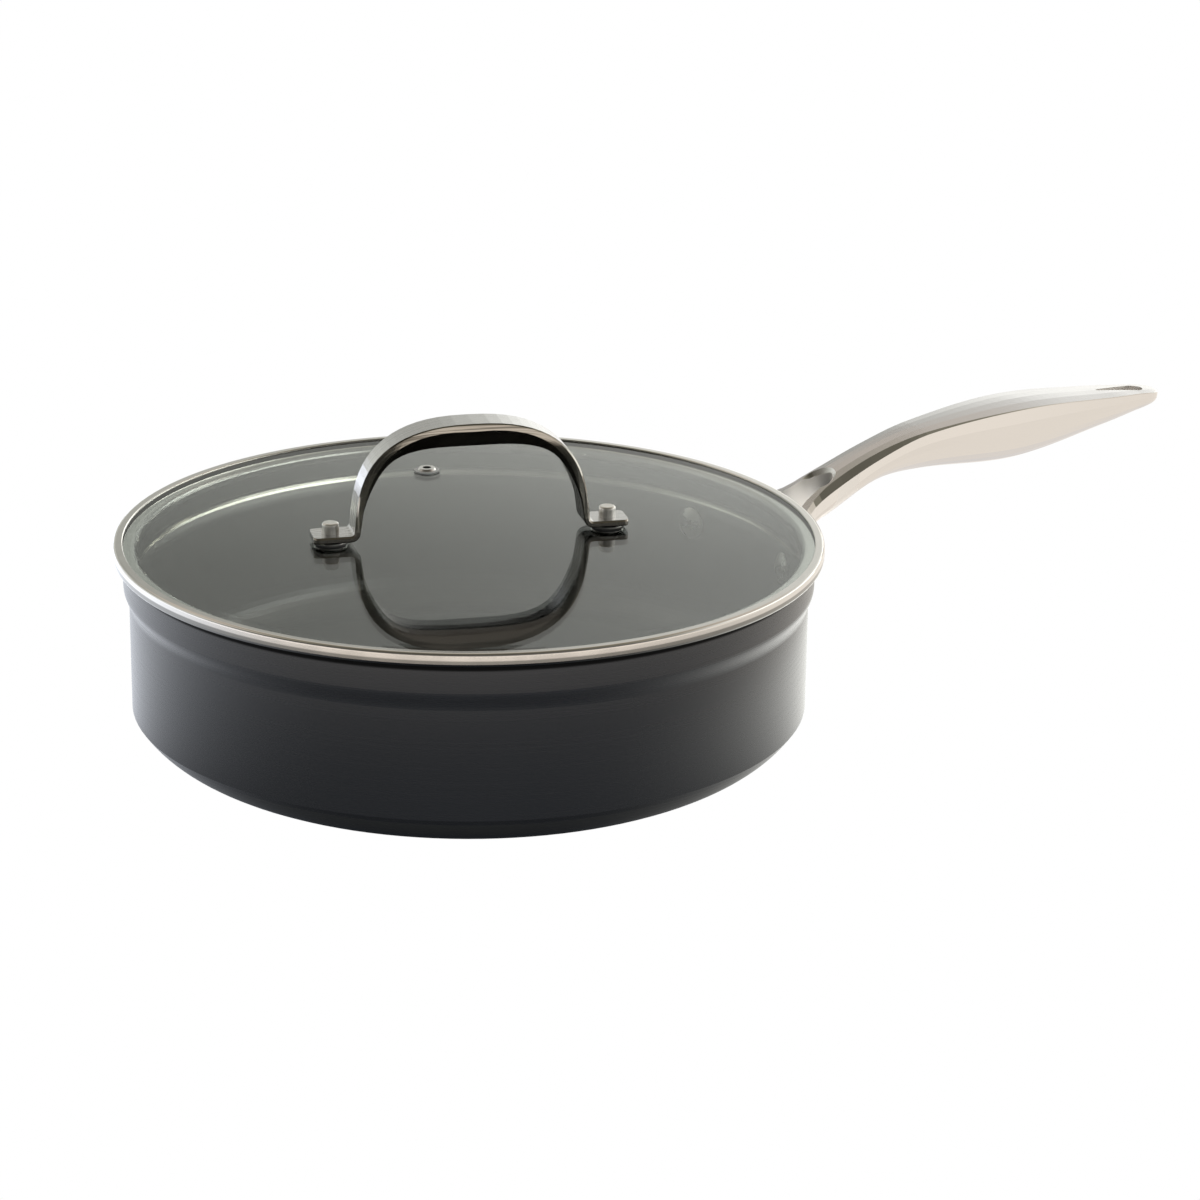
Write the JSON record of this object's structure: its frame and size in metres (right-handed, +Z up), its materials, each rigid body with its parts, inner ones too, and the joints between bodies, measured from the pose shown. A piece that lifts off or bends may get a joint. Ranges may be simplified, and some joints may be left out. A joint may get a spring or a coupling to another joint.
{
  "type": "saute pan with lid",
  "caption": "Straight-sided saute pan with a forked cast handle and a low glass lid with a steel band, an arched strap handle and a steam vent.",
  "frame": {"origin": "centre of the pan's resting face", "axes": "+Z up along the pan's axis, +X along the pan handle towards its tip"},
  "size_m": [0.4696, 0.2712, 0.1238],
  "materials": {
    "anodised": "hard anodised charcoal outside, dark slick cooking surface inside",
    "cast_steel": "cast stainless steel, satin top face and polished sides",
    "rivet_steel": "bright stainless rivets",
    "band_steel": "polished stainless band",
    "lid_glass": "clear tempered glass",
    "strap_steel": "brushed top face, polished bevels and sides",
    "fastener_steel": "polished stainless",
    "black_silicone": "matt black silicone",
    "clear_silicone": "translucent grey silicone"
  },
  "bodies": {
    "pan": {"pan_body": "anodised", "pan_handle": "cast_steel", "rivet_left": "rivet_steel", "rivet_right": "rivet_steel"},
    "lid": {"lid_rim": "band_steel", "lid_glass": "lid_glass", "lid_handle": "strap_steel", "foot_nut_left": "fastener_steel", "foot_spacer_left": "black_silicone", "foot_washer_left": "fastener_steel", "glass_sleeve_left": "black_silicone", "lower_gasket_left": "black_silicone", "lower_washer_left": "fastener_steel", "lid_screw_left": "fastener_steel", "foot_nut_right": "fastener_steel", "foot_spacer_right": "black_silicone", "foot_washer_right": "fastener_steel", "glass_sleeve_right": "black_silicone", "lower_gasket_right": "black_silicone", "lower_washer_right": "fastener_steel", "lid_screw_right": "fastener_steel", "vent_eyelet": "fastener_steel", "vent_ring": "clear_silicone", "vent_lower_ring": "clear_silicone"}
  },
  "joints": [
    {"name": "lid_lift", "type": "slide", "parent": "pan", "child": "lid", "axis": [0, 0, 1], "range_m": [0, 0.1]}
  ]
}
